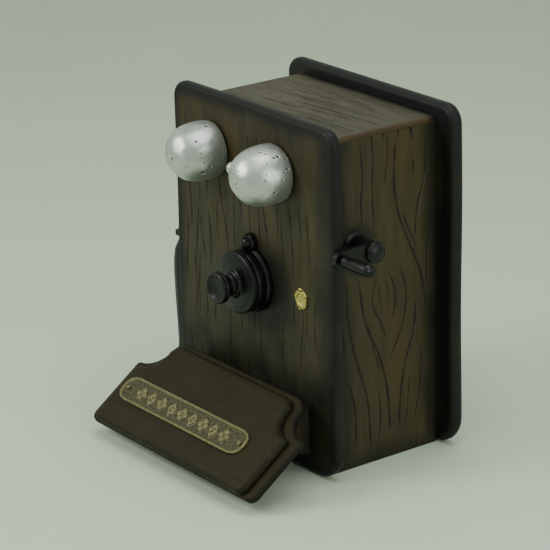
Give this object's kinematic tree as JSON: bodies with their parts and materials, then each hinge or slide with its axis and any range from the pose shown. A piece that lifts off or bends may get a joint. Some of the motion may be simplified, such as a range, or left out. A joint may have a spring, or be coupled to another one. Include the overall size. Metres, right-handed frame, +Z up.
{
  "type": "wall crank telephone",
  "caption": "Wooden wall telephone with magneto crank, two bells, transmitter, hanging receiver, hinged front door and sloping writing shelf.",
  "frame": {"origin": "centre of the cabinet's flat bottom, on the plane it stands on", "axes": "+Z up, -Y out of the front, +X to the right seen from the front; the back board's wall face is at +Y"},
  "size_m": [0.3944, 0.2754, 0.357],
  "materials": {
    "cabinet_wood": "engraved grain under a dark antique wash",
    "shelf_wood": "smooth, dark stain, satin",
    "black_enamel": "satin black",
    "black_composition": "satin black moulded composition",
    "bell_silver": "silver, finely pitted, satin",
    "brass": "satin",
    "gilt": "rough gilt",
    "bronze": "antique bronze",
    "steel": "satin",
    "iron": "black japanned",
    "coil_wrap": "varnished cotton over copper wire",
    "cell_wrap": "matt",
    "terminal_black": "matt black",
    "diaphragm": "thin sheet"
  },
  "bodies": {
    "cabinet": {"back_board": "cabinet_wood", "case_left_side": "cabinet_wood", "case_right_side": "cabinet_wood", "case_top": "cabinet_wood", "case_bottom": "cabinet_wood", "generator_shelf": "shelf_wood", "hinge_case_leaves": "brass", "hinge_pins": "brass", "case_screws": "brass", "crank_bushing": "black_enamel", "magneto_bearing_plates": "brass", "magneto_magnets": "iron", "magneto_pole_pieces": "iron", "hook_escutcheon": "black_enamel", "hook_bracket": "steel", "hook_pivot_pin": "steel", "hook_contacts": "brass", "dry_cells": "cell_wrap", "induction_coil": "coil_wrap", "terminal_block": "terminal_black", "cord_bushing": "terminal_black"},
    "door": {"door_panel": "cabinet_wood", "hinge_door_leaves": "brass", "door_screws": "brass", "gong_left": "bell_silver", "gong_right": "bell_silver", "gong_posts": "steel", "gong_screws": "bell_silver", "ringer_frame": "iron", "ringer_coils": "coil_wrap", "transmitter_base": "black_enamel", "transmitter_cup": "black_enamel", "transmitter_face": "black_enamel", "transmitter_diaphragm": "diaphragm", "carbon_button": "brass", "mouthpiece": "black_composition", "button_contacts": "brass", "lock_escutcheon": "gilt", "lock_barrel": "steel", "shelf_board": "shelf_wood", "shelf_top": "shelf_wood", "shelf_brackets": "shelf_wood", "nameplate": "bronze", "nameplate_rivets": "bronze"},
    "clapper": {"clapper_armature": "iron", "clapper": "bell_silver"},
    "button": {"call_button": "black_composition"},
    "lock": {"lock_cylinder": "brass", "lock_cam": "steel"},
    "crank": {"crank_shaft": "black_enamel", "crank_arm": "black_enamel", "handle_spindle": "black_enamel", "drive_gear": "brass"},
    "handle": {"crank_handle": "black_composition"},
    "armature": {"magneto_armature": "iron", "armature_pinion": "steel"},
    "hook": {"hook_lever": "black_enamel"},
    "receiver": {"receiver_shell": "black_composition", "receiver_cap": "black_composition", "receiver_diaphragm": "diaphragm"}
  },
  "joints": [
    {"name": "door_swing", "type": "hinge", "parent": "cabinet", "child": "door", "pos_m": [-0.111, -0.064, 0.18], "axis": [0, 0, -1], "range_deg": [0, 72]},
    {"name": "crank_spin", "type": "hinge", "parent": "cabinet", "child": "crank", "pos_m": [0.1, -0.037, 0.233], "axis": [1, 0, 0], "continuous": true},
    {"name": "handle_spin", "type": "hinge", "parent": "crank", "child": "handle", "pos_m": [0.16, -0.075, 0.233], "axis": [1, 0, 0], "continuous": true},
    {"name": "armature_spin", "type": "hinge", "parent": "cabinet", "child": "armature", "pos_m": [0, -0.004, 0.233], "axis": [1, 0, 0], "continuous": true},
    {"name": "clapper_swing", "type": "hinge", "parent": "door", "child": "clapper", "pos_m": [-0.0115, -0.047, 0.227], "axis": [0, 1, 0], "range_deg": [-12, 12], "stiffness_Nm_per_rad": 0.06},
    {"name": "button_press", "type": "slide", "parent": "door", "child": "button", "axis": [0, 1, 0], "range_m": [0, 0.003], "stiffness_N_per_m": 300, "springref_m": -0.001},
    {"name": "lock_turn", "type": "hinge", "parent": "door", "child": "lock", "pos_m": [0.0793, -0.06, 0.1795], "axis": [0, -1, 0], "range_deg": [0, 90]},
    {"name": "hook_swing", "type": "hinge", "parent": "cabinet", "child": "hook", "pos_m": [-0.078, -0.03, 0.1715], "axis": [0, 1, 0], "range_deg": [0, 10], "stiffness_Nm_per_rad": 0.14, "springref_deg": 28.65},
    {"name": "receiver_lift", "type": "slide", "parent": "hook", "child": "receiver", "axis": [-1, 0, 0], "range_m": [0, 0.06]}
  ],
  "couplings": [
    {"joint": "armature_spin", "follows": "crank_spin", "ratio": -4}
  ]
}
